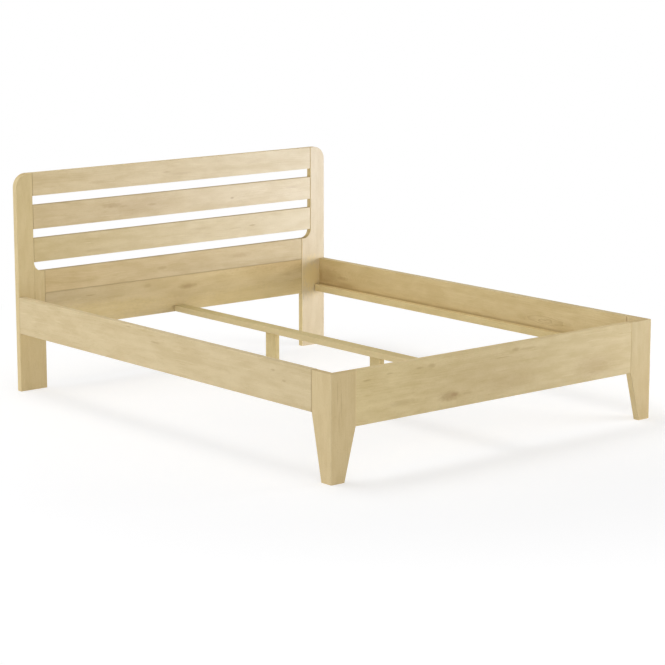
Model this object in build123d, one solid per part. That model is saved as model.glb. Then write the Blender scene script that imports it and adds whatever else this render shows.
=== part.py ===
from build123d import *
import os

# A wooden bed frame, in millimetres. The foot faces -Y, the headboard stands at +Y and
# the floor is z = 0. Left and right are as seen from the foot.

# Space for the mattress, and the height of the rails round it
inner_width = 1604.0
inner_length = 2013.0
rail_top = 404.0

# Side rails, and the ledgers that carry a slatted base
side_rail_height = 155.0
side_rail_thickness = 30.0
ledger_width = 30.0
ledger_height = 29.5
ledger_lift = 4.5  # ledger's underside above the rail's lower edge
ledger_end_gap = 2.0  # bare rail beyond each end of a ledger
ledger_dowel_count = 6
ledger_dowel_inset = 110.0  # first and last dowel from the ledger's ends
ledger_dowel_diameter = 8.0
ledger_dowel_length = 32.0

# Headboard: two stepped posts, five boards between them and three slots
post_thickness = 27.0
post_upper_width = 80.0
post_lower_width = 131.0
post_corner_radius = 58.0
post_step_radius = 40.0
head_rail_height = 159.0
panel_height = 97.0
slat_height = 101.5
top_rail_height = 97.6
slat_thickness = 24.0
slot_height = 38.8

# Foot end: a deep rail between two tapered corner legs, each two boards with a mitre
leg_thickness = 27.0
leg_front_width = 115.0
leg_side_width = 110.0
leg_front_floor_width = 63.0
leg_side_floor_width = 57.0
leg_corner_radius = 6.0
foot_rail_height = 205.0
spline_length = 280.0
spline_width = 18.0
spline_thickness = 4.0
spline_depth = 22.0  # spline's centre line, in from the outer corner along the mitre

# Centre beam, its two legs and the cleat that carries its foot end
beam_width = 56.0
beam_thickness = 25.0
beam_drop = 7.0  # beam's top below the ledgers' tops
beam_slide_gap = 12.0  # room at the foot end to slide the beam on to its dowels
beam_dowel_diameter = 8.0
beam_dowel_spacing = 28.0
beam_dowel_reach = 10.0  # how far the beam's dowels go into the head rail
beam_dowel_length = 30.0
centre_leg_thickness = 26.0  # across the bed
centre_leg_width = 61.0  # along the beam
centre_leg_head_setback = 660.0  # headboard to the first leg's axis
centre_leg_foot_setback = 682.0  # foot rail to the second leg's axis
leg_bolt_diameter = 8.0
leg_bolt_hold = 45.0  # length held in the leg
leg_nut_diameter = 13.0
leg_nut_length = 16.0
cleat_width = 90.0
cleat_depth = 30.0
cleat_height = 30.0
cleat_screw_spacing = 60.0

# Hook and catch plates that join the side rails to the headboard and the foot
plate_width = 18.0
plate_height = 110.0
plate_thickness = 3.0
plate_screw_inset = 9.0
hook_spacing = 48.0
hook_thickness = 3.0
hook_neck = 13.0
hook_drop = 10.0  # how far a hook reaches down behind the catch plate
hook_lip = 4.0

# Dowels and screws
dowel_diameter = 10.0
dowel_length = 80.0
dowel_inset = 24.0  # dowel's axis from the edge of its board
dowel_bevel = 1.0
screw_diameter = 4.0
screw_head_diameter = 8.0
screw_head_height = 2.6
screw_tip = 4.0
cleat_screw_hold = 16.0  # length in the foot rail or the beam
plate_screw_length = 20.0

# Edges and fits
edge_radius = 2.5
fillet_share = 0.45  # most of a board's least size that one rounding may take
joint_easing = 2.0  # bevel round a board's ends, which shows as a fine joint line
clearance = 0.2  # round a dowel, screw, spline or plate
hole_relief = 1.0  # space left at the bottom of a blind hole

# Places that follow from those sizes
overall_width = inner_width + 2 * side_rail_thickness
overall_length = inner_length + leg_thickness + post_thickness
outer_side = overall_width / 2
foot_face = -overall_length / 2
foot_inner_face = foot_face + leg_thickness
head_face = foot_inner_face + inner_length
head_middle = head_face + post_thickness / 2
head_rail_face = head_middle - slat_thickness / 2
side_rail_bottom = rail_top - side_rail_height
side_rail_foot_end = foot_face + leg_side_width
side_rail_middle = outer_side - side_rail_thickness / 2
foot_rail_bottom = rail_top - foot_rail_height
foot_rail_half = outer_side - leg_front_width
ledger_bottom = side_rail_bottom + ledger_lift
seat_height = ledger_bottom + ledger_height
ledger_face = inner_width / 2 - ledger_width
beam_top = seat_height - beam_drop
beam_bottom = beam_top - beam_thickness
beam_foot_end = foot_inner_face + beam_slide_gap
plate_level = (side_rail_bottom + rail_top) / 2
plate_screw_levels = (plate_screw_inset - plate_height / 2, plate_height / 2 - plate_screw_inset)
hook_levels = (-hook_spacing / 2, hook_spacing / 2)
hook_reach = plate_thickness + clearance + hook_lip
post_half_upper = outer_side - post_upper_width
post_half_lower = outer_side - post_lower_width

# The headboard's boards from the lowest up: lower edge, height and half length
headboard_boards = {}
board_level = side_rail_bottom
for name, height, gap_above, half_length in (
    ("headboard_head_rail", head_rail_height, 0.0, post_half_lower),
    ("headboard_panel", panel_height, slot_height, post_half_lower),
    ("headboard_slat_lower", slat_height, slot_height, post_half_upper),
    ("headboard_slat_upper", slat_height, slot_height, post_half_upper),
    ("headboard_top_rail", top_rail_height, 0.0, post_half_upper),
):
    headboard_boards[name] = (board_level, height, half_length)
    board_level += height + gap_above
headboard_height = board_level
post_step = headboard_boards["headboard_panel"][0] + panel_height


def mirrored(shape):
    return mirror(shape, about=Plane.YZ)


def rounded(edges, radius, wall):
    # A rounding no larger than its wall can hold
    return fillet(edges, min(radius, fillet_share * wall))


def board(low, high, grain):
    # A board between two corners: long edges rounded, ends eased
    size = [top - bottom for bottom, top in zip(low, high)]
    middle = [(top + bottom) / 2 for bottom, top in zip(low, high)]
    plank = Pos(*middle) * Box(*size)
    plank = rounded(plank.edges().filter_by(grain), edge_radius, min(size))
    ends = plank.faces().filter_by(grain)
    return chamfer(ends.edges(), joint_easing)


def dowel(point, direction, diameter=dowel_diameter, length=dowel_length):
    # A dowel with bevelled ends, centred on its point
    pin = Cylinder(diameter / 2, length)
    pin = chamfer(pin.edges().filter_by(GeomType.CIRCLE), dowel_bevel)
    return Plane(origin=point, z_dir=direction) * pin


def dowel_hole(point, direction, diameter=dowel_diameter, length=dowel_length):
    bore = Cylinder(diameter / 2 + clearance, length + 2 * hole_relief)
    return Plane(origin=point, z_dir=direction) * bore


def screw(point, direction, length, fit=0.0, relief=0.0):
    # A countersunk screw from its flush head at the point, or its hole with a fit round it
    head = screw_head_diameter / 2 + fit
    shank = screw_diameter / 2 + fit
    end = length + relief
    with BuildPart() as body:
        with BuildSketch(Plane.XZ):
            with BuildLine():
                Polyline(
                    (0, 0),
                    (head, 0),
                    (shank, screw_head_height),
                    (shank, end - screw_tip),
                    (0, end),
                    close=True,
                )
            make_face()
        revolve(axis=Axis.Z)
    return Plane(origin=point, z_dir=direction) * body.part


def screw_hole(point, direction, length):
    return screw(point, direction, length, clearance, hole_relief)


def joint_frames(side):
    # The side rail's two joints: post or leg on the frame's +Y side, rail on its -Y side
    x = side * side_rail_middle
    return {
        "head": Pos(x, head_face, plate_level),
        "foot": Pos(x, side_rail_foot_end, plate_level) * Rot(0, 0, 180),
    }


def hook_outline():
    # Side view of a hook: a neck through the catch plate and a lip that drops behind it
    lip_start = plate_thickness + clearance
    return [
        (0, 0),
        (lip_start, 0),
        (lip_start, -hook_drop),
        (hook_reach, -hook_drop),
        (hook_reach, hook_neck),
        (0, hook_neck),
    ]


def hook_plate():
    plate = Pos(0, -plate_thickness / 2, 0) * Box(plate_width, plate_thickness, plate_height)
    for level in plate_screw_levels:
        plate -= screw_hole((0, 0, level), (0, -1, 0), plate_screw_length)
    profile = make_face(Polyline(*hook_outline(), close=True))
    hook = extrude(Plane.YZ * profile, hook_thickness / 2, both=True)
    for level in hook_levels:
        plate += Pos(0, 0, level) * hook
    return plate


def catch_slot(level, depth, width_fit):
    # A slot that takes a whole hook from the front and lets it drop on to its lower edge
    width = hook_thickness + 2 * width_fit
    height = hook_drop + hook_neck + 2 * clearance
    return Pos(0, depth / 2, level + height / 2) * Box(width, depth, height)


def catch_plate():
    plate = Pos(0, plate_thickness / 2, 0) * Box(plate_width, plate_thickness, plate_height)
    for level in plate_screw_levels:
        plate -= screw_hole((0, 0, level), (0, 1, 0), plate_screw_length)
    for level in hook_levels:
        plate -= catch_slot(level, plate_thickness, clearance)
    return plate


def plate_recess(facing):
    # The housing for a plate, let in from the joint towards its own timber
    recess = Box(plate_width + 2 * clearance, plate_thickness, plate_height + 2 * clearance)
    return Pos(0, facing * plate_thickness / 2, 0) * recess


def rail_end_cuts():
    cuts = [plate_recess(-1)]
    cuts += [screw_hole((0, 0, level), (0, -1, 0), plate_screw_length) for level in plate_screw_levels]
    return cuts


def post_joint_cuts():
    # Plate housing, hook pockets and screw holes in a post or leg
    cuts = [plate_recess(1)]
    cuts += [screw_hole((0, 0, level), (0, 1, 0), plate_screw_length) for level in plate_screw_levels]
    pocket_depth = hook_reach + hole_relief
    pocket_height = 2 * hook_drop + hook_neck + 2 * hole_relief
    pocket = Box(hook_thickness + 2 * hole_relief, pocket_depth, pocket_height)
    for level in hook_levels:
        middle = level + hook_neck / 2
        cuts.append(Pos(0, pocket_depth / 2, middle) * pocket)
    return cuts


def side_rail():
    rail = board(
        (inner_width / 2, side_rail_foot_end, side_rail_bottom),
        (outer_side, head_face, rail_top),
        Axis.Y,
    )
    for frame in joint_frames(1).values():
        rail -= [frame * cut for cut in rail_end_cuts()]
    return rail - [dowel_hole(*place) for place in ledger_dowel_places()]


def ledger_dowel_places():
    first = side_rail_foot_end + ledger_end_gap + ledger_dowel_inset
    last = head_face - ledger_end_gap - ledger_dowel_inset
    step = (last - first) / (ledger_dowel_count - 1)
    level = ledger_bottom + ledger_height / 2
    size = (ledger_dowel_diameter, ledger_dowel_length)
    return [
        ((inner_width / 2, first + step * index, level), (1, 0, 0), *size)
        for index in range(ledger_dowel_count)
    ]


def ledger():
    strip = board(
        (ledger_face, side_rail_foot_end + ledger_end_gap, ledger_bottom),
        (inner_width / 2, head_face - ledger_end_gap, seat_height),
        Axis.Y,
    )
    return strip - [dowel_hole(*place) for place in ledger_dowel_places()]


def headboard_dowel_places():
    places = []
    for bottom, height, half_length in headboard_boards.values():
        for level in (bottom + dowel_inset, bottom + height - dowel_inset):
            places.append(((half_length, head_middle, level), (1, 0, 0)))
    return places


def headboard_post():
    outline = Polyline(
        (outer_side, 0),
        (outer_side, headboard_height),
        (post_half_upper, headboard_height),
        (post_half_upper, post_step),
        (post_half_lower, post_step),
        (post_half_lower, 0),
        close=True,
    )
    profile = make_face(outline)
    corner = profile.vertices().group_by(Axis.Y)[-1].sort_by(Axis.X)[-1]
    profile = fillet(corner, post_corner_radius)
    step = profile.vertices().filter_by(lambda v: abs(v.Y - post_step) < clearance).sort_by(Axis.X)[-1]
    profile = fillet(step, post_step_radius)
    post = extrude(Plane.XZ.offset(-head_face) * profile, -post_thickness)
    faces = post.faces().filter_by(Axis.Y)
    upright = faces.edges().filter_by(lambda e: e.center().Z > clearance)
    post = rounded(upright, edge_radius, post_thickness)
    post -= [dowel_hole(*place) for place in headboard_dowel_places()]
    return post - [joint_frames(1)["head"] * cut for cut in post_joint_cuts()]


def headboard_board(name):
    bottom, height, half_length = headboard_boards[name]
    plank = board(
        (-half_length, head_rail_face, bottom),
        (half_length, head_rail_face + slat_thickness, bottom + height),
        Axis.X,
    )
    levels = (bottom + dowel_inset, bottom + height - dowel_inset)
    for level in levels:
        for end in (-half_length, half_length):
            plank -= dowel_hole((end, head_middle, level), (1, 0, 0))
    return plank


def head_rail():
    return headboard_board("headboard_head_rail") - [dowel_hole(*place) for place in beam_dowel_places()]


def foot_rail_dowel_places():
    levels = (foot_rail_bottom + dowel_inset, (foot_rail_bottom + rail_top) / 2, rail_top - dowel_inset)
    return [((foot_rail_half, foot_face + leg_thickness / 2, level), (1, 0, 0)) for level in levels]


def foot_rail():
    rail = board(
        (-foot_rail_half, foot_face, foot_rail_bottom),
        (foot_rail_half, foot_inner_face, rail_top),
        Axis.X,
    )
    holes = [dowel_hole(*place) for place in foot_rail_dowel_places()]
    rail -= holes
    rail -= [mirrored(hole) for hole in holes]
    return rail - [screw_hole(*place) for place in cleat_rail_screw_places()]


def tapered_board(width, floor_width, taper_top):
    # Side view of a leg board: outer edge upright, inner edge tapering to the floor
    return make_face(
        Polyline(
            (0, 0),
            (floor_width, 0),
            (width, taper_top),
            (width, rail_top),
            (0, rail_top),
            close=True,
        )
    )


def leg_spline(fit=0.0):
    diagonal = spline_depth / 2**0.5
    place = Plane(
        origin=(outer_side - diagonal, foot_face + diagonal, rail_top / 2),
        x_dir=(1, 1, 0),
        z_dir=(0, 0, 1),
    )
    size = (spline_width, spline_thickness, spline_length)
    return place * Box(*[length + 2 * fit for length in size])


def corner_leg():
    # The whole corner, rounded as one, before the mitre parts its two boards
    corner = (outer_side, foot_face, 0)
    front_plane = Plane(origin=corner, x_dir=(-1, 0, 0), z_dir=(0, 1, 0))
    side_plane = Plane(origin=corner, x_dir=(0, 1, 0), z_dir=(1, 0, 0))
    front_profile = tapered_board(leg_front_width, leg_front_floor_width, foot_rail_bottom)
    side_profile = tapered_board(leg_side_width, leg_side_floor_width, side_rail_bottom)
    front = extrude(front_plane * front_profile, leg_thickness)
    side = extrude(side_plane * side_profile, -leg_thickness)
    leg = front + side
    outer = leg.edges().filter_by(Axis.Z).sort_by_distance((outer_side, foot_face, rail_top / 2))[0]
    leg = rounded(outer, leg_corner_radius, leg_thickness)
    inner_corner = (outer_side - leg_thickness, foot_inner_face)
    free = [
        edge
        for edge in leg.edges()
        if edge.center().Z > clearance
        and (Vector(*inner_corner) - Vector(edge.center().X, edge.center().Y)).length > clearance
        and not on_outer_corner(edge)
    ]
    return rounded(free, edge_radius, leg_thickness)


def on_outer_corner(edge):
    # The two upright lines where the corner's rounding runs out
    reach = Vector(outer_side - edge.center().X, edge.center().Y - foot_face)
    return reach.length < leg_corner_radius + clearance and edge.center().Z < rail_top - clearance


def leg_boards():
    mitre = Plane(origin=(outer_side, foot_face, 0), z_dir=(1, 1, 0))
    leg = corner_leg() - leg_spline(clearance)
    front = split(leg, bisect_by=mitre, keep=Keep.BOTTOM)
    side = split(leg, bisect_by=mitre, keep=Keep.TOP)
    front -= [dowel_hole(*place) for place in foot_rail_dowel_places()]
    side -= [joint_frames(1)["foot"] * cut for cut in post_joint_cuts()]
    return front, side


def beam_dowel_places():
    middle = head_rail_face + beam_dowel_reach - beam_dowel_length / 2
    level = beam_bottom + beam_thickness / 2
    return [
        ((x, middle, level), (0, 1, 0), beam_dowel_diameter, beam_dowel_length)
        for x in (-beam_dowel_spacing / 2, beam_dowel_spacing / 2)
    ]


def cleat_rail_screw_places():
    level = beam_bottom - cleat_height / 2
    length = cleat_depth + cleat_screw_hold
    start = foot_inner_face + cleat_depth
    return [
        ((x, start, level), (0, -1, 0), length)
        for x in (-cleat_screw_spacing / 2, cleat_screw_spacing / 2)
    ]


def cleat_beam_screw_place():
    along = (beam_foot_end + foot_inner_face + cleat_depth) / 2
    return ((0, along, beam_bottom - cleat_height), (0, 0, 1), cleat_height + cleat_screw_hold)


def cleat():
    block = board(
        (-cleat_width / 2, foot_inner_face, beam_bottom - cleat_height),
        (cleat_width / 2, foot_inner_face + cleat_depth, beam_bottom),
        Axis.X,
    )
    block -= [screw_hole(*place) for place in cleat_rail_screw_places()]
    return block - screw_hole(*cleat_beam_screw_place())


def centre_leg_places():
    return {
        "head": head_face - centre_leg_head_setback,
        "foot": foot_inner_face + centre_leg_foot_setback,
    }


def leg_bolt(along, fit=0.0, relief=0.0):
    # A stud held in the leg's top, standing up into the nut in the beam
    length = leg_bolt_hold + leg_nut_length + 2 * relief
    middle = beam_bottom + (leg_nut_length - leg_bolt_hold) / 2
    return Pos(0, along, middle) * Cylinder(leg_bolt_diameter / 2 + fit, length)


def leg_nut(along, fit=0.0):
    barrel = Cylinder(leg_nut_diameter / 2 + fit, leg_nut_length)
    return Pos(0, along, beam_bottom + leg_nut_length / 2) * barrel


def centre_leg(along):
    half_thickness = centre_leg_thickness / 2
    half_width = centre_leg_width / 2
    leg = board(
        (-half_thickness, along - half_width, 0),
        (half_thickness, along + half_width, beam_bottom),
        Axis.Z,
    )
    return leg - leg_bolt(along, clearance, hole_relief)


def centre_beam():
    half = beam_width / 2
    beam = board((-half, beam_foot_end, beam_bottom), (half, head_rail_face, beam_top), Axis.Y)
    beam -= [dowel_hole(*place) for place in beam_dowel_places()]
    for along in centre_leg_places().values():
        beam -= leg_nut(along, clearance)
        beam -= leg_bolt(along, clearance, hole_relief)
    return beam - screw_hole(*cleat_beam_screw_place())


def both_sides(shapes):
    return list(shapes) + [mirrored(shape) for shape in shapes]


parts = {}
right_post = headboard_post()
right_rail = side_rail()
right_ledger = ledger()
right_front, right_side = leg_boards()
for name, shape in (
    ("headboard_post", right_post),
    ("side_rail", right_rail),
    ("ledger", right_ledger),
    ("foot_leg_front", right_front),
    ("foot_leg_side", right_side),
):
    parts[f"{name}_right"] = shape
    parts[f"{name}_left"] = mirrored(shape)

for name in headboard_boards:
    parts[name] = headboard_board(name)
parts["headboard_head_rail"] = head_rail()
parts["headboard_dowels"] = both_sides([dowel(*place) for place in headboard_dowel_places()])

parts["foot_rail"] = foot_rail()
parts["foot_rail_dowels"] = both_sides([dowel(*place) for place in foot_rail_dowel_places()])
parts["foot_leg_splines"] = both_sides([leg_spline()])
parts["ledger_dowels"] = both_sides([dowel(*place) for place in ledger_dowel_places()])

parts["hook_plate_screws"] = []
parts["catch_plate_screws"] = []
for side, side_name in ((1, "right"), (-1, "left")):
    for end, frame in joint_frames(side).items():
        parts[f"hook_plate_{end}_{side_name}"] = frame * hook_plate()
        parts[f"catch_plate_{end}_{side_name}"] = frame * catch_plate()
        for level in plate_screw_levels:
            head = (0, 0, level)
            parts["hook_plate_screws"].append(frame * screw(head, (0, -1, 0), plate_screw_length))
            parts["catch_plate_screws"].append(frame * screw(head, (0, 1, 0), plate_screw_length))

parts["centre_beam"] = centre_beam()
parts["beam_dowels"] = [dowel(*place) for place in beam_dowel_places()]
parts["beam_cleat"] = cleat()
parts["beam_cleat_screws"] = [screw(*place) for place in cleat_rail_screw_places()]
parts["beam_cleat_screws"].append(screw(*cleat_beam_screw_place()))
parts["centre_leg_bolts"] = []
parts["centre_leg_nuts"] = []
for end, along in centre_leg_places().items():
    parts[f"centre_leg_{end}"] = centre_leg(along)
    parts["centre_leg_bolts"].append(leg_bolt(along))
    parts["centre_leg_nuts"].append(leg_nut(along) - leg_bolt(along, clearance, hole_relief))

os.makedirs("parts", exist_ok=True)
for name, shape in parts.items():
    if isinstance(shape, list):
        shape = Compound(children=shape)
    export_step(shape, f"parts/{name}.step")
size_text = f"{overall_width:.0f} x {overall_length:.0f} x {headboard_height:.0f} mm"
print(f"bed frame {size_text}, {len(parts)} pieces")
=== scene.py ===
import math

import bpy
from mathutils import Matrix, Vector


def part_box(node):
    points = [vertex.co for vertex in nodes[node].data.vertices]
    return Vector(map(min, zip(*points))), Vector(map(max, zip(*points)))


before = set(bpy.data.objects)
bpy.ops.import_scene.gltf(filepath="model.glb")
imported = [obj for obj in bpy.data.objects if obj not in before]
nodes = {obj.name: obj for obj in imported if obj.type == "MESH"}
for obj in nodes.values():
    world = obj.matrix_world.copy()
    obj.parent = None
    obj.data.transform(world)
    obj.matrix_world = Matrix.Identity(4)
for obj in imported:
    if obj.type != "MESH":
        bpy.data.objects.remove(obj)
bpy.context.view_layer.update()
scene = bpy.context.scene
scene.view_settings.view_transform = "Standard"
print("bed frame loaded,", len(nodes), "nodes")


def srgb(red, green, blue):
    # a colour read as 0 to 255, in the linear values that sockets take
    channels = [value / 255 for value in (red, green, blue)]
    linear = [c / 12.92 if c < 0.04045 else ((c + 0.055) / 1.055) ** 2.4 for c in channels]
    return linear + [1.0]


pureWhite = srgb(255, 255, 255)


def plug(tree, socket, value):
    # a link where the value comes from another node
    if isinstance(value, bpy.types.NodeSocket):
        tree.links.new(value, socket)
    else:
        socket.default_value = value


def addNode(tree, kind, sockets, **settings):
    node = tree.nodes.new(kind)
    for name, value in settings.items():
        setattr(node, name, value)
    for name, value in sockets.items():
        plug(tree, node.inputs[name], value)
    return node


def calc(tree, operation, first, second=0.0, third=0.0):
    sockets = {0: first, 1: second, 2: third}
    return addNode(tree, "ShaderNodeMath", sockets, operation=operation).outputs[0]


def vecCalc(tree, operation, first, second=(0.0, 0.0, 0.0)):
    return addNode(tree, "ShaderNodeVectorMath", {0: first, 1: second}, operation=operation)


def remap(tree, value, fromMin, fromMax, toMin=0.0, toMax=1.0):
    # an eased step from one level to the other
    sockets = {"Value": value, "From Min": fromMin, "From Max": fromMax}
    sockets.update({"To Min": toMin, "To Max": toMax})
    return addNode(tree, "ShaderNodeMapRange", sockets, interpolation_type="SMOOTHSTEP").outputs[0]


noiseMiddle = 0.5


def stretchedNoise(tree, vector, cells, detail=2.0, levels=None):
    # noise drawn out along the grain: cells per metre along and across, and the levels of its step
    along, across = cells
    place = vecCalc(tree, "MULTIPLY", vector, (along, across, across)).outputs[0]
    sockets = {"Vector": place, "Scale": 1.0, "Detail": detail}
    noise = addNode(tree, "ShaderNodeTexNoise", sockets).outputs["Fac"]
    return remap(tree, noise, *levels) if levels else noise


def mixColour(tree, factor, first, second):
    # sockets 6 and 7 are a Mix node's two colours
    sockets = {0: factor, 6: first, 7: second}
    return addNode(tree, "ShaderNodeMix", sockets, data_type="RGBA").outputs[2]


def newGroup(name, inputs, outputs):
    group = bpy.data.node_groups.new(name, "ShaderNodeTree")
    for way, sockets in (("INPUT", inputs), ("OUTPUT", outputs)):
        for label, kind in sockets.items():
            group.interface.new_socket(label, in_out=way, socket_type=f"NodeSocket{kind}")
    given = group.nodes.new("NodeGroupInput").outputs
    made = group.nodes.new("NodeGroupOutput").inputs
    return group, given, made


def placeGroup(tree, group, sockets):
    return addNode(tree, "ShaderNodeGroup", sockets, node_tree=group).outputs


surfaceSockets = {"Color": "Color", "Roughness": "Float", "Height": "Float"}


# Solid wood in grain space (along, across, through): growth rings that come and go round a pith,
# soft patches, streaks, short dark and light dashes, fibres and flecks
boardWood = {
    "ringSpacing": 0.0045,
    "ringBend": 0.045,  # how far slow bends move the rings
    "ringPower": 2.5,  # a slow rise and a sharp end to each ring
    "noises": {
        "bend": {"cells": (0.9, 5.0)},
        "clear": {"cells": (1.4, 11.0), "levels": (0.40, 0.66)},  # where the rings show
        "fibre": {"cells": (16.0, 850.0)},
        "fleck": {"cells": (130.0, 1500.0), "detail": 1.0, "levels": (0.62, 0.72)},
        "patch": {"cells": (9.0, 30.0), "detail": 3.0, "levels": (0.30, 0.70)},
        "streak": {"cells": (1.1, 38.0), "levels": (0.30, 0.70)},
        "dash": {"cells": (12.0, 190.0), "detail": 1.0, "levels": (0.64, 0.76)},
        "gleam": {"cells": (9.0, 140.0), "detail": 1.0, "levels": (0.36, 0.24)},
    },
    "shares": {  # how much of the dark tone each adds
        "ring": 0.17,
        "patch": 0.30,
        "streak": 0.13,
        "fibre": 0.12,
        "dash": 0.22,
        "gleam": -0.20,
    },
    "fleckColour": srgb(150, 116, 72),
    "fleckShare": 0.30,
    "endColour": srgb(188, 160, 110),
    "endShare": 0.40,
    # painted warm light, for shaded patches and side faces
    "warmLightColour": srgb(246, 222, 156),
    # knots, and the colour of painted shade
    "knotAndShadeColour": srgb(136, 96, 50),
    # painted highlight on rounded edges
    "edgeHighlightColour": srgb(228, 211, 174),
    "edgeHighlightShare": 0.14,
    # painted pale light over the grooves at joints, and on side faces
    "flushColour": srgb(250, 232, 188),
    # dark joints, and painted shade in corners
    "jointAndShadeColour": srgb(92, 58, 24),
    "roughness": 0.70,
    "fibreRough": 0.12,  # from the smoothest fibre to the roughest
    "endRough": 0.12,
    "edgeRough": -0.05,
    "fleckHeight": -0.6,  # in fibres' heights
    "ringHeight": -0.25,
}


def makeBoardWood(values):
    masks = ("Swirl", "KnotAndShade", "Edge", "JointAndShade", "PaleLight", "End", "WarmLight")
    inputs = {"Grain": "Vector", "Pale": "Color", "Dark": "Color"}
    inputs.update({mask: "Float" for mask in masks})
    tree, given, made = newGroup("boardWood", inputs, surfaceSockets)
    grain = given["Grain"]
    layers = {name: stretchedNoise(tree, grain, **noise) for name, noise in values["noises"].items()}
    bend = calc(tree, "SUBTRACT", layers["bend"], noiseMiddle)
    flat = vecCalc(tree, "MULTIPLY", grain, (0.0, 1.0, 1.0)).outputs[0]
    radius = vecCalc(tree, "LENGTH", flat).outputs["Value"]
    radius = calc(tree, "MULTIPLY_ADD", bend, values["ringBend"], radius)
    radius = calc(tree, "ADD", radius, given["Swirl"])
    growth = calc(tree, "FRACT", calc(tree, "DIVIDE", radius, values["ringSpacing"]))
    ring = calc(tree, "POWER", growth, values["ringPower"])
    layers["ring"] = calc(tree, "MULTIPLY", ring, layers["clear"])
    amount = 0.0
    for name, share in values["shares"].items():
        amount = calc(tree, "MULTIPLY_ADD", layers[name], share, amount)
    colour = mixColour(tree, amount, given["Pale"], given["Dark"])
    # tints over the grain: flecks, end grain, painted warm light, knots and painted shade, painted
    # highlights on rounded edges, painted pale light, and dark joints with painted corner shade
    tints = (
        ("fleckColour", calc(tree, "MULTIPLY", layers["fleck"], values["fleckShare"])),
        ("endColour", calc(tree, "MULTIPLY", given["End"], values["endShare"])),
        ("warmLightColour", given["WarmLight"]),
        ("knotAndShadeColour", given["KnotAndShade"]),
        ("edgeHighlightColour", calc(tree, "MULTIPLY", given["Edge"], values["edgeHighlightShare"])),
        ("flushColour", given["PaleLight"]),
        ("jointAndShadeColour", given["JointAndShade"]),
    )
    for tint, mask in tints:
        colour = mixColour(tree, mask, colour, values[tint])
    plug(tree, made["Color"], colour)
    smooth = values["roughness"] - values["fibreRough"] / 2
    rough = calc(tree, "MULTIPLY_ADD", layers["fibre"], values["fibreRough"], smooth)
    rough = calc(tree, "MULTIPLY_ADD", given["End"], values["endRough"], rough)
    rough = calc(tree, "MULTIPLY_ADD", given["Edge"], values["edgeRough"], rough)
    plug(tree, made["Roughness"], rough)
    height = calc(tree, "MULTIPLY_ADD", layers["fleck"], values["fleckHeight"], layers["fibre"])
    height = calc(tree, "MULTIPLY_ADD", layers["ring"], values["ringHeight"], height)
    plug(tree, made["Height"], height)
    return tree


woodGroup = makeBoardWood(boardWood)


# The shape of a knot, smudge or dash in a board, and of the patches of painted shade and painted
# light: an uneven core (dark in a knot), and the push that bends the rings round it. Distances are in
# the mark's own half sizes
markShape = {
    "cells": (60.0, 120.0),
    "unevenness": 0.9,
    "core": (1.3, 0.2),  # where it starts, and where it is full
    "push": 0.8,  # in half heights
    "pushed": (4.0, 0.0),
}
# A figure in a board: a few nested rings, drawn out along the grain and fading outwards
boardFigure = {
    "cells": (18.0, 60.0),
    "unevenness": 0.55,
    "rings": 3.0,
    "ringPower": 3.0,
    "fade": (1.15, 0.45),
}
markSockets = {"Grain": "Vector", "Centre": "Vector", "Size": "Vector"}


def markReach(tree, given, values):
    # distance from a mark's centre, plain and ragged
    away = vecCalc(tree, "SUBTRACT", given["Grain"], given["Centre"]).outputs[0]
    away = vecCalc(tree, "DIVIDE", away, given["Size"]).outputs[0]
    reach = vecCalc(tree, "LENGTH", away).outputs["Value"]
    noise = stretchedNoise(tree, given["Grain"], values["cells"])
    uneven = calc(tree, "SUBTRACT", noise, noiseMiddle)
    return reach, calc(tree, "MULTIPLY_ADD", uneven, values["unevenness"], reach)


def makeMarkShape(values):
    tree, given, made = newGroup("markShape", markSockets, {"Mask": "Float", "Swirl": "Float"})
    reach, ragged = markReach(tree, given, values)
    plug(tree, made["Mask"], remap(tree, ragged, *values["core"]))
    halfHeight = addNode(tree, "ShaderNodeSeparateXYZ", {0: given["Size"]}).outputs["Y"]
    push = calc(tree, "MULTIPLY", halfHeight, values["push"])
    plug(tree, made["Swirl"], calc(tree, "MULTIPLY", remap(tree, reach, *values["pushed"]), push))
    return tree


def makeBoardFigure(values):
    tree, given, made = newGroup("boardFigure", markSockets, {"Mask": "Float"})
    reach, ragged = markReach(tree, given, values)
    growth = calc(tree, "FRACT", calc(tree, "MULTIPLY", ragged, values["rings"]))
    ring = calc(tree, "POWER", growth, values["ringPower"])
    plug(tree, made["Mask"], calc(tree, "MULTIPLY", ring, remap(tree, reach, *values["fade"])))
    return tree


markShapeGroup = makeMarkShape(markShape)
figureGroup = makeBoardFigure(boardFigure)


# A band just inside a board's limits: full at the near distance and gone at the far one, in metres
edgeBand = {"near": 0.0004, "far": 0.0026}  # rounded edges, to where the rounding ends
jointBand = {"near": 0.0003, "far": 0.0055, "beyond": 0.0}  # dark lines
# the pale lines are painted light that hides the grooves' shade
flushBand = {"near": 0.0003, "far": 0.0045, "beyond": 0.001}  # pale lines, from just outside
outOfReach = 1.0  # moves a limit away, where a band has one side only


def makeBandMask():
    inputs = {name: "Float" for name in ("Place", "Low", "High", "Near", "Far")}
    tree, given, made = newGroup("bandMask", inputs, {"Mask": "Float"})
    below = calc(tree, "SUBTRACT", given["Place"], given["Low"])
    above = calc(tree, "SUBTRACT", given["High"], given["Place"])
    depth = calc(tree, "MINIMUM", below, above)
    started = remap(tree, depth, 0.0, given["Near"])
    ended = remap(tree, depth, given["Far"], given["Near"])
    plug(tree, made["Mask"], calc(tree, "MULTIPLY", started, ended))
    return tree


bandGroup = makeBandMask()
print("shared wood effects ready")
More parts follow.
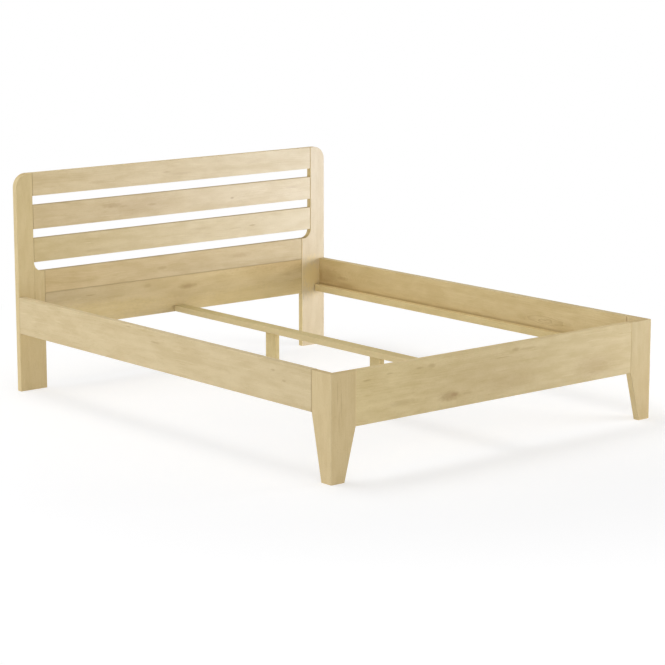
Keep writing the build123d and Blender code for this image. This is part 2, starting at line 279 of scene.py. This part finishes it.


# The boards, each with those of these values that it needs:
# axes along the grain, across it and through the board; the pith across and through, and its lean;
# calm, from 0 to 1 for a grain with no contrast;
# tone in shares of frameTone, a second tone at the far end, and a plain tone on faces other than the
# front; on boards with a plain tone, the front's tones and their drift along the board are painted
# light and shade;
# joints, dark lines at its ends, or at its low (below) or high (above) side, and lines of painted
# light in the same places over the grooves;
# painted warm light and painted pale light on its sides; corner, painted shade on a rail's inner face
# over the ledger;
# marks, patches of painted shade, patches of painted warm light and figures: along, across, half
# length, half height, depth
frameTone = {"pale": (225, 206, 160), "dark": (193, 169, 116)}
# plain tone for the headboard's faces other than the front, whose tones carry painted light
headboardPlain = (0.955, 0.953, 0.955)
woodBoards = {
    "headboard_post_left": {
        "axes": "zxy",
        "pith": (-0.90, 1.10),
        "lean": (0.012, 0.006),
        "calm": 0.35,
        "tone": (0.962, 0.953, 0.940),
        "farShadingTone": (0.933, 0.927, 0.912),
        # painted pale light on its side faces
        "sidePaleLight": 0.18,
        "marks": [
            (0.395, -0.752, 0.032, 0.003, 0.34),
            (0.480, -0.752, 0.080, 0.003, 0.14),
        ],
    },
    "headboard_post_right": {
        "axes": "zxy",
        "pith": (0.66, 1.12),
        "lean": (-0.010, 0.008),
        "calm": 0.35,
        "tone": (0.947, 0.959, 1.056),
        "farShadingTone": (0.991, 1.027, 1.206),
        "plainTone": headboardPlain,
        # painted pale light along its edge by the panel
        "flush": {"below": 0.9},
        # painted warm light on its side faces, and in the right rail's shade on its front
        "sideWarmLight": 0.36,
        "warm": [(0.325, 0.755, 0.088, 0.100, 0.80)],
        # painted shade where the right rail shades the post
        "paintedShade": [(0.332, 0.730, 0.090, 0.110, 0.13)],
    },
    "headboard_top_rail": {
        "axes": "xzy",
        "pith": (0.84, 1.09),
        "lean": (0.014, 0.010),
        "tone": (0.965, 0.966, 1.004),
        "farShadingTone": (0.989, 1.026, 1.191),
        "plainTone": headboardPlain,
        "joints": {"ends": 0.30},
        "marks": [
            (-0.420, 0.858, 0.050, 0.006, 0.14),
            (-0.060, 0.872, 0.022, 0.005, 0.18),
            (0.020, 0.860, 0.060, 0.006, 0.14),
            (0.420, 0.880, 0.050, 0.008, 0.10),
        ],
    },
    "headboard_slat_upper": {
        "axes": "xzy",
        "pith": (0.70, 0.95),
        "lean": (-0.011, 0.012),
        "tone": (0.927, 0.919, 0.934),
        "farShadingTone": (1.008, 1.047, 1.224),
        "plainTone": headboardPlain,
        "joints": {"ends": 0.30},
        # a patch of painted shade on the front
        "paintedShade": [(-0.210, 0.738, 0.210, 0.042, 0.12)],
        "marks": [
            (-0.345, 0.749, 0.060, 0.013, 0.30),
            (-0.290, 0.742, 0.040, 0.008, 0.24),
            (-0.140, 0.737, 0.036, 0.008, 0.30),
            (0.298, 0.727, 0.012, 0.005, 0.40),
            (0.640, 0.747, 0.045, 0.006, 0.16),
        ],
    },
    "headboard_slat_lower": {
        "axes": "xzy",
        "pith": (0.63, 1.11),
        "lean": (0.009, -0.012),
        "tone": (0.932, 0.930, 0.922),
        "farShadingTone": (0.989, 1.025, 1.181),
        "plainTone": headboardPlain,
        "joints": {"ends": 0.30},
        "marks": [
            (0.410, 0.594, 0.022, 0.003, 0.45),
            (-0.450, 0.566, 0.050, 0.008, 0.14),
            (0.120, 0.606, 0.060, 0.006, 0.12),
        ],
    },
    "headboard_panel": {
        "axes": "xzy",
        "pith": (0.40, 1.10),
        "lean": (0.015, 0.008),
        "tone": (0.955, 0.939, 0.930),
        "farShadingTone": (0.913, 0.922, 1.000),
        "plainTone": headboardPlain,
        "joints": {"ends": 0.30, "below": 0.22},
        "marks": [
            (-0.092, 0.451, 0.030, 0.009, 0.24),
            (0.341, 0.464, 0.060, 0.012, 0.24),
            (-0.520, 0.440, 0.070, 0.008, 0.12),
        ],
    },
    "headboard_head_rail": {
        "axes": "xzy",
        "pith": (0.30, 0.93),
        "lean": (-0.013, 0.010),
        "tone": (0.907, 0.901, 0.921),
        "farShadingTone": (0.988, 0.974, 0.945),
        "plainTone": headboardPlain,
        "joints": {"ends": 0.30, "above": 0.13},
        # painted warm light along the lower head rail, where it is shaded
        "warm": [
            (-0.600, 0.290, 0.600, 0.066, 0.30),
            (0.400, 0.268, 0.520, 0.056, 0.27),
        ],
        # painted shade along the top at the right end, where the right rail shades it
        "paintedShade": [
            (0.700, 0.412, 0.460, 0.046, 0.28),
            (0.650, 0.366, 0.120, 0.028, 0.10),
        ],
        "marks": [
            (-0.171, 0.380, 0.024, 0.010, 0.22),
            (0.046, 0.355, 0.046, 0.012, 0.38),
            (0.078, 0.358, 0.022, 0.007, 0.25),
            (0.612, 0.350, 0.040, 0.010, 0.20),
            (-0.024, 0.273, 0.020, 0.006, 0.28),
            (-0.470, 0.372, 0.030, 0.003, 0.28),
            (-0.420, 0.352, 0.120, 0.016, 0.10),
        ],
    },
    "side_rail_left": {
        "axes": "yzx",
        "pith": (0.36, -0.75),
        "lean": (0.010, 0.008),
        "tone": (0.976, 0.981, 1.022),
        "joints": {"ends": 0.30},
        # painted shade on the inner face over the ledger
        "corner": {"level": 0.283, "rise": 0.014, "face": -0.802, "depth": 0.26},
        "marks": [
            (-0.704, 0.368, 0.014, 0.005, 0.25),
            (-0.767, 0.338, 0.012, 0.005, 0.25),
            (0.031, 0.359, 0.035, 0.005, 0.25),
            (0.209, 0.396, 0.024, 0.003, 0.25),
        ],
    },
    "side_rail_right": {
        "axes": "yzx",
        "pith": (0.31, 0.92),
        "lean": (0.012, -0.010),
        "tone": (1.003, 1.002, 1.002),
        "farShadingTone": (0.928, 0.907, 0.853),
        "plainTone": (0.970, 0.970, 0.975),
        # painted light over the grooves at its ends
        "flush": {"ends": 0.6},
        # painted shade on the inner face over the ledger
        "corner": {"level": 0.283, "rise": 0.014, "face": 0.802, "depth": 0.32},
        "figures": [(-0.470, 0.320, 0.150, 0.026, 0.36)],
        "marks": [
            (-0.468, 0.321, 0.020, 0.003, 0.30),
            (-0.590, 0.300, 0.110, 0.012, 0.08),
            (0.842, 0.328, 0.060, 0.010, 0.28),
            (0.935, 0.322, 0.080, 0.050, 0.24),
            # painted shade in the corner at the post
            (0.992, 0.320, 0.014, 0.036, 0.34),
            # darker along the ledger near the head end
            (0.850, 0.298, 0.130, 0.014, 0.26),
        ],
    },
    "foot_rail": {
        "axes": "xzy",
        "pith": (0.27, -0.90),
        "lean": (0.012, 0.010),
        "tone": (0.996, 0.996, 0.981),
        "farShadingTone": (0.915, 0.920, 0.952),
        "plainTone": (1.000, 0.995, 0.985),
        # painted light over the grooves at its ends
        "flush": {"ends": 0.45},
        # patches of painted shade on the front
        "paintedShade": [
            (-0.080, 0.300, 0.360, 0.110, 0.11),
            (0.020, 0.262, 0.200, 0.045, 0.17),
            (0.500, 0.258, 0.115, 0.044, 0.20),
        ],
        "marks": [
            (-0.262, 0.246, 0.060, 0.022, 0.42),
            (-0.240, 0.249, 0.030, 0.013, 0.54),
            (-0.172, 0.245, 0.050, 0.007, 0.22),
            (-0.351, 0.373, 0.022, 0.010, 0.28),
            (-0.412, 0.372, 0.020, 0.005, 0.24),
            (0.078, 0.378, 0.024, 0.009, 0.32),
            (0.135, 0.375, 0.056, 0.007, 0.22),
            (0.010, 0.356, 0.052, 0.003, 0.28),
            (0.496, 0.234, 0.030, 0.004, 0.34),
            (-0.497, 0.254, 0.090, 0.012, 0.16),
            (-0.665, 0.360, 0.020, 0.004, 0.26),
            (-0.556, 0.371, 0.018, 0.004, 0.24),
        ],
    },
    "foot_leg_front_left": {
        "axes": "zxy",
        "pith": (-0.80, -0.92),
        "lean": (0.010, 0.006),
        "calm": 0.35,
        "tone": (0.970, 0.959, 0.953),
        # painted light over the groove at the joint
        "flush": {"above": 0.30},
        "marks": [
            (0.330, -0.802, 0.055, 0.003, 0.22),
            (0.290, -0.785, 0.060, 0.003, 0.20),
            (0.235, -0.795, 0.050, 0.004, 0.14),
        ],
    },
    "foot_leg_front_right": {
        "axes": "zxy",
        "pith": (0.74, -0.93),
        "lean": (-0.008, 0.010),
        "calm": 0.35,
        "tone": (0.879, 0.862, 0.852),
        "farShadingTone": (0.878, 0.880, 0.903),
        "plainTone": (0.975, 0.970, 0.965),
        # painted light over the groove at the joint
        "flush": {"below": 0.40},
    },
    "foot_leg_side_left": {
        "axes": "zyx",
        "pith": (-1.00, -0.74),
        "lean": (0.010, -0.006),
        "calm": 0.35,
        "tone": (0.970, 0.963, 0.970),
    },
    "foot_leg_side_right": {
        "axes": "zyx",
        "pith": (-0.95, 0.74),
        "lean": (-0.011, 0.006),
        "calm": 0.35,
        "tone": (0.985, 0.982, 0.990),
        # painted light over the groove at the joint
        "flush": {"above": 0.50},
    },
    "ledger_left": {
        "axes": "yzx",
        "pith": (0.20, -0.70),
        "lean": (0.008, 0.006),
        "tone": (0.990, 0.988, 0.955),
        "joints": {"ends": 0.6},
    },
    "ledger_right": {
        "axes": "yzx",
        "pith": (0.32, 0.70),
        "lean": (-0.008, 0.006),
        "tone": (0.990, 0.988, 0.955),
        "joints": {"ends": 0.6},
    },
    "centre_beam": {
        "axes": "yxz",
        "pith": (0.03, 0.17),
        "lean": (0.008, 0.010),
        "tone": (0.978, 0.970, 0.932),
        "farShadingTone": (0.900, 0.908, 0.862),
        # painted pale light on its side faces
        "sidePaleLight": 0.36,
        "joints": {"ends": 0.6},
    },
    "centre_leg_head": {
        "axes": "zyx",
        "pith": (0.33, 0.09),
        "lean": (0.012, 0.008),
        "tone": (1.017, 1.025, 1.010),
    },
    "centre_leg_foot": {
        "axes": "zyx",
        "pith": (-0.36, 0.08),
        "lean": (-0.012, 0.008),
        "tone": (1.017, 1.025, 1.010),
    },
    "beam_cleat": {
        "axes": "xyz",
        "pith": (-0.95, 0.17),
        "lean": (0.010, 0.008),
        "tone": (0.970, 0.970, 0.970),
    },
}
woodFinish = {
    "specular": 0.18,
    "bumpStrength": 0.25,
    "bumpDistance": 0.0004,
    # parts of a face's normal between which it comes to count as a front, a side or an end
    "front": (-0.3, -0.7),
    "side": (0.3, 0.8),
    "end": (0.6, 0.95),
    "cornerNear": 0.0003,
    "cornerReach": 0.001,  # how near the inner face the corner's shade stays
}


def newMaterial(name):
    material = bpy.data.materials.new(name)
    material.use_nodes = True
    tree = material.node_tree
    tree.nodes.clear()
    shader = tree.nodes.new("ShaderNodeBsdfPrincipled")
    output = tree.nodes.new("ShaderNodeOutputMaterial")
    tree.links.new(shader.outputs[0], output.inputs["Surface"])
    return material, tree, shader


def dress(name, material, shader, surface, finish):
    # a group's colour, roughness and relief on the shader, and the material on its piece
    tree = material.node_tree
    sockets = {"Strength": finish["bumpStrength"], "Distance": finish["bumpDistance"]}
    bump = addNode(tree, "ShaderNodeBump", {"Height": surface["Height"], **sockets})
    plug(tree, shader.inputs["Base Color"], surface["Color"])
    plug(tree, shader.inputs["Roughness"], surface["Roughness"])
    plug(tree, shader.inputs["Normal"], bump.outputs[0])
    mesh = nodes[name].data
    mesh.materials.clear()
    mesh.materials.append(material)


def grainSpace(tree, axes):
    # object coordinates and normals in the order along, across, through
    spot = tree.nodes.new("ShaderNodeTexCoord")
    split = addNode(tree, "ShaderNodeSeparateXYZ", {0: spot.outputs["Object"]})
    normal = addNode(tree, "ShaderNodeSeparateXYZ", {0: spot.outputs["Normal"]})
    places = [split.outputs[axis.upper()] for axis in axes]
    facing = [normal.outputs[axis.upper()] for axis in axes]
    grain = addNode(tree, "ShaderNodeCombineXYZ", dict(enumerate(places))).outputs[0]
    return grain, places, facing


def toned(colour, shares):
    return srgb(*[value * share for value, share in zip(colour, shares)])


# on a board with a plain tone, the front's tone and its drift to the far end are painted light and
# shade, and the other faces keep the plain tone
def boardTones(tree, board, tones, shadingDrift, front):
    calm = board.get("calm", 0.0)
    dark = [value + calm * (pale - value) for pale, value in zip(tones["pale"], tones["dark"])]
    made = {}
    for key, colour in (("Pale", tones["pale"]), ("Dark", dark)):
        near = toned(colour, board["tone"])
        far = toned(colour, board.get("farShadingTone", board["tone"]))
        made[key] = mixColour(tree, shadingDrift, near, far)
        if "plainTone" in board:
            made[key] = mixColour(tree, front, toned(colour, board["plainTone"]), made[key])
    return made


def placeMark(tree, group, grain, through, mark):
    # one mark, which goes right through its board
    along, across, halfLength, halfHeight, depth = mark
    centre = addNode(tree, "ShaderNodeCombineXYZ", {0: along, 1: across, 2: through}).outputs[0]
    sockets = {"Grain": grain, "Centre": centre, "Size": (halfLength, halfHeight, 1.0)}
    made = placeGroup(tree, group, sockets)
    return calc(tree, "MULTIPLY", made["Mask"], depth), made


def boardMarks(tree, board, grain, through, front):
    # marks bend the rings, figures have their own, and patches of painted shade and of painted warm
    # light tint the front alone
    knotAndShade = swirl = warm = 0.0
    for mark in board.get("marks", []):
        shade, made = placeMark(tree, markShapeGroup, grain, through, mark)
        knotAndShade = calc(tree, "MAXIMUM", knotAndShade, shade)
        swirl = calc(tree, "ADD", swirl, made["Swirl"])
    # painted shade, on the front alone
    for mark in board.get("paintedShade", []):
        shade = placeMark(tree, markShapeGroup, grain, through, mark)[0]
        knotAndShade = calc(tree, "MAXIMUM", knotAndShade, calc(tree, "MULTIPLY", shade, front))
    for mark in board.get("figures", []):
        knotAndShade = calc(tree, "MAXIMUM", knotAndShade, placeMark(tree, figureGroup, grain, through, mark)[0])
    for mark in board.get("warm", []):
        warm = calc(tree, "MAXIMUM", warm, placeMark(tree, markShapeGroup, grain, through, mark)[0])
    return {"KnotAndShade": knotAndShade, "Swirl": swirl, "WarmLight": calc(tree, "MULTIPLY", warm, front)}


def bandInside(tree, place, low, high, band):
    sockets = {"Place": place, "Low": low, "High": high, "Near": band["near"], "Far": band["far"]}
    return placeGroup(tree, bandGroup, sockets)["Mask"]


def boardLines(tree, places, spans, lines, band):
    mask = 0.0
    for side, depth in lines.items():
        order = 0 if side == "ends" else 1
        low = spans[order][0] - band["beyond"]
        high = spans[order][1] + band["beyond"]
        if side == "above":
            low -= outOfReach
        if side == "below":
            high += outOfReach
        line = bandInside(tree, places[order], low, high, band)
        mask = calc(tree, "MAXIMUM", mask, calc(tree, "MULTIPLY", line, depth))
    return mask


# painted shade in the corner over the ledger
def cornerShade(tree, places, spans, corner, finish):
    band = {"near": finish["cornerNear"], "far": corner["rise"]}
    shade = bandInside(tree, places[1], corner["level"], spans[1][1] + outOfReach, band)
    inside = calc(tree, "COMPARE", places[2], corner["face"], finish["cornerReach"])
    return calc(tree, "MULTIPLY", calc(tree, "MULTIPLY", shade, inside), corner["depth"])


def finishWood(name, board, tones, finish):
    material, tree, shader = newMaterial(f"{name}_wood")
    grain, places, facing = grainSpace(tree, board["axes"])
    low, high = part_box(name)
    spans = [(low["xyz".index(axis)], high["xyz".index(axis)]) for axis in board["axes"]]
    move = (-spans[0][0], -board["pith"][0], -board["pith"][1])
    lean = (0.0, board["lean"][1], board["lean"][0])
    turned = addNode(tree, "ShaderNodeMapping", {"Vector": grain, "Location": move, "Rotation": lean})
    # the tone's drift from one end of the board to the other, a painted gradient of light and shade
    ends = {"Value": places[0], "From Min": spans[0][0], "From Max": spans[0][1]}
    shadingDrift = addNode(tree, "ShaderNodeMapRange", ends).outputs[0]
    front = remap(tree, facing[2], *finish["front"])
    side = remap(tree, calc(tree, "ABSOLUTE", facing[1]), *finish["side"])
    end = remap(tree, calc(tree, "ABSOLUTE", facing[0]), *finish["end"])
    sockets = {"Grain": turned.outputs[0], "End": end}
    sockets.update(boardTones(tree, board, tones, shadingDrift, front))
    sockets.update(boardMarks(tree, board, grain, places[2], front))
    # painted warm light on the side faces
    warmLitSide = calc(tree, "MULTIPLY", side, board.get("sideWarmLight", 0.0))
    sockets["WarmLight"] = calc(tree, "MAXIMUM", sockets["WarmLight"], warmLitSide)
    sockets["Edge"] = bandInside(tree, places[2], *spans[2], edgeBand)
    # painted light over the grooves, on the front, and painted pale light on the side faces
    flush = boardLines(tree, places, spans, board.get("flush", {}), flushBand)
    paleLitSide = calc(tree, "MULTIPLY", side, board.get("sidePaleLight", 0.0))
    sockets["PaleLight"] = calc(tree, "MAXIMUM", calc(tree, "MULTIPLY", flush, front), paleLitSide)
    sockets["JointAndShade"] = boardLines(tree, places, spans, board.get("joints", {}), jointBand)
    # the painted shade over the ledger joins the dark joint lines
    if "corner" in board:
        shade = cornerShade(tree, places, spans, board["corner"], finish)
        sockets["JointAndShade"] = calc(tree, "MAXIMUM", sockets["JointAndShade"], shade)
    shader.inputs["Specular IOR Level"].default_value = finish["specular"]
    dress(name, material, shader, placeGroup(tree, woodGroup, sockets), finish)


for name, board in woodBoards.items():
    finishWood(name, board, frameTone, woodFinish)
print("wood finished on", len(woodBoards), "boards")


# Dowels and splines: raw beech, hidden in the joints
dowelTone = {"pale": (208, 174, 128), "dark": (166, 126, 82)}
dowelWood = {"lean": (0.01, 0.01), "tone": (1.0, 1.0, 1.0)}
dowelPieces = {
    "headboard_dowels": {"axes": "xzy", "pith": (0.60, 1.00)},
    "foot_rail_dowels": {"axes": "xzy", "pith": (0.30, -1.00)},
    "ledger_dowels": {"axes": "xzy", "pith": (0.25, 0.10)},
    "beam_dowels": {"axes": "yxz", "pith": (0.00, 0.25)},
    "foot_leg_splines": {"axes": "zxy", "pith": (0.80, -1.00)},
}
for name, piece in dowelPieces.items():
    finishWood(name, {**dowelWood, **piece}, dowelTone, woodFinish)
print("raw beech on", len(dowelPieces), "sets of dowels and splines")


# Zinc-plated plates, screws, studs and nuts
zincFinish = {
    "bright": srgb(206, 206, 202),
    "dull": srgb(164, 166, 166),
    "warm": srgb(196, 188, 164),
    "plateWarmth": 0.2,
    "fastenerWarmth": 0.6,
    "spangle": {"cells": (260.0, 260.0), "detail": 3.0},
    "spangleLevels": (0.35, 0.65),
    "brushed": {"cells": (2200.0, 160.0)},
    "brushedLevels": (0.3, 0.7),
    "roughness": (0.30, 0.46),
    "bumpStrength": 0.2,
    "bumpDistance": 0.0001,
}


def makeZinc(values):
    inputs = {"Vector": "Vector", "Warmth": "Float"}
    tree, given, made = newGroup("zincPlating", inputs, surfaceSockets)
    spangle = stretchedNoise(tree, given["Vector"], **values["spangle"])
    brushed = stretchedNoise(tree, given["Vector"], **values["brushed"])
    shine = remap(tree, spangle, *values["spangleLevels"])
    colour = mixColour(tree, shine, values["dull"], values["bright"])
    warm = calc(tree, "MULTIPLY", given["Warmth"], spangle)
    plug(tree, made["Color"], mixColour(tree, warm, colour, values["warm"]))
    rough = remap(tree, brushed, *values["brushedLevels"], *values["roughness"])
    plug(tree, made["Roughness"], rough)
    plug(tree, made["Height"], brushed)
    return tree


zincGroup = makeZinc(zincFinish)


def finishZinc(name, finish):
    material, tree, shader = newMaterial(f"{name}_zinc")
    spot = tree.nodes.new("ShaderNodeTexCoord")
    isPlate = "plate_" in name and "screws" not in name
    warmth = finish["plateWarmth"] if isPlate else finish["fastenerWarmth"]
    zinc = placeGroup(tree, zincGroup, {"Vector": spot.outputs["Object"], "Warmth": warmth})
    shader.inputs["Metallic"].default_value = 1.0
    dress(name, material, shader, zinc, finish)


zincPieces = [name for name in nodes if name not in woodBoards and name not in dowelPieces]
for name in zincPieces:
    finishZinc(name, zincFinish)
print("zinc finished on", len(zincPieces), "plates and sets of fasteners")


def seenRays(tree):
    # rays that see the studio itself: the camera's, and those by way of metal and glass
    rays = tree.nodes.new("ShaderNodeLightPath").outputs
    seen = calc(tree, "MAXIMUM", rays["Is Camera Ray"], rays["Is Glossy Ray"])
    return calc(tree, "MAXIMUM", seen, rays["Is Transmission Ray"])


# White studio floor that keeps the bed's soft shadow, and is plain white further off
floorSettings = {
    "half": 60.0,
    "colour": srgb(253, 253, 254),
    "middle": (-0.2, -0.4, 0.0),
    "nearRadius": 1.25,
    "farRadius": 3.2,
    "keep": 0.58,  # share of the lit floor that shows near the bed
    "lift": 1.22,  # strength of the white that is mixed into it there
}
bpy.ops.object.select_all(action="DESELECT")
bpy.ops.mesh.primitive_plane_add(size=2 * floorSettings["half"], location=(0, 0, 0))
floor = bpy.context.active_object
floor.name = "studioFloor"
floorMaterial = bpy.data.materials.new("studioFloorWhite")
floorMaterial.use_nodes = True
floorTree = floorMaterial.node_tree
floorTree.nodes.clear()
spot = floorTree.nodes.new("ShaderNodeTexCoord").outputs["Object"]
reach = vecCalc(floorTree, "DISTANCE", spot, floorSettings["middle"]).outputs["Value"]
radii = (floorSettings["farRadius"], floorSettings["nearRadius"])
kept = remap(floorTree, reach, *radii, 0.0, floorSettings["keep"])
lift = remap(floorTree, reach, *radii, 1.0, floorSettings["lift"])
glow = calc(floorTree, "MULTIPLY", seenRays(floorTree), calc(floorTree, "SUBTRACT", 1.0, kept))
matt = addNode(floorTree, "ShaderNodeBsdfDiffuse", {"Color": floorSettings["colour"]}).outputs[0]
white = addNode(floorTree, "ShaderNodeEmission", {"Color": pureWhite, "Strength": lift}).outputs[0]
floorBlend = addNode(floorTree, "ShaderNodeMixShader", {0: glow, 1: matt, 2: white})
floorOutput = floorTree.nodes.new("ShaderNodeOutputMaterial")
floorTree.links.new(floorBlend.outputs[0], floorOutput.inputs["Surface"])
floor.data.materials.append(floorMaterial)
print("floor laid")


# An even room that looks white
studioRoom = {"light": 0.38, "look": 1.0}  # what it gives the bed, and what the camera sees
world = bpy.data.worlds.new("studioRoom")
world.use_nodes = True
scene.world = world
roomTree = world.node_tree
roomTree.nodes.clear()
whites = {}
for use, strength in studioRoom.items():
    sockets = {"Color": pureWhite, "Strength": strength}
    whites[use] = addNode(roomTree, "ShaderNodeBackground", sockets).outputs[0]
sockets = {0: seenRays(roomTree), 1: whites["light"], 2: whites["look"]}
roomBlend = addNode(roomTree, "ShaderNodeMixShader", sockets)
roomOutput = roomTree.nodes.new("ShaderNodeOutputWorld")
roomTree.links.new(roomBlend.outputs[0], roomOutput.inputs["Surface"])
print("room lit")


def aimAt(holder, settings):
    sight = Vector(settings["aim"]) - Vector(settings["at"])
    holder.location = settings["at"]
    holder.rotation_euler = sight.to_track_quat("-Z", "Y").to_euler()


# Softboxes on the left, in front, at the front right and overhead, and one with a grid that reaches
# from the front right to the headboard
softboxes = {
    "leftBox": {
        "at": (-4.9, 1.3, 1.05),
        "aim": (0.0, 0.2, 0.5),
        "size": (2.4, 1.7),
        "watts": 64.0,
    },
    "frontBox": {
        "at": (-2.45, -4.24, 1.44),
        "aim": (0.0, 0.0, 0.4),
        "size": (2.4, 2.4),
        "watts": 35.5,
    },
    "cornerBox": {
        "at": (3.2, -2.2, 0.75),
        "aim": (0.5, 1.0, 0.7),
        "size": (1.4, 1.4),
        "watts": 33.9,
    },
    "gridBox": {
        "at": (3.4, -3.0, 0.65),
        "aim": (0.85, 1.0, 0.65),
        "size": (2.4, 1.2),
        "watts": 14.9,
        "spread": 60.0,  # degrees, narrowed by its grid
    },
    "topBox": {
        "at": (-1.0, 1.2, 5.0),
        "aim": (0.0, 0.0, 0.0),
        "size": (3.0, 3.0),
        "watts": 93.5,
    },
}
openSpread = 180.0  # degrees, with no grid
for name, box in softboxes.items():
    lamp = bpy.data.lights.new(name, "AREA")
    lamp.shape = "RECTANGLE"
    lamp.size, lamp.size_y = box["size"]
    lamp.energy = box["watts"]
    lamp.spread = math.radians(box.get("spread", openSpread))
    holder = bpy.data.objects.new(name, lamp)
    scene.collection.objects.link(holder)
    aimAt(holder, box)
    holder.visible_camera = False
print("softboxes set:", ", ".join(softboxes))


# Camera at the photo's angle, with a long lens
cameraSettings = {
    "at": (-5.9503, -7.1489, 2.0942),
    "aim": (0.0286, -0.0135, 0.2983),
    "lens": 125.087,
    "sensor": 36.0,
    "clipEnd": 200.0,
}
cameraData = bpy.data.cameras.new("photoCamera")
cameraData.lens = cameraSettings["lens"]
cameraData.sensor_width = cameraSettings["sensor"]
cameraData.clip_end = cameraSettings["clipEnd"]
camera = bpy.data.objects.new("photoCamera", cameraData)
scene.collection.objects.link(camera)
aimAt(camera, cameraSettings)
scene.camera = camera
print("camera set")
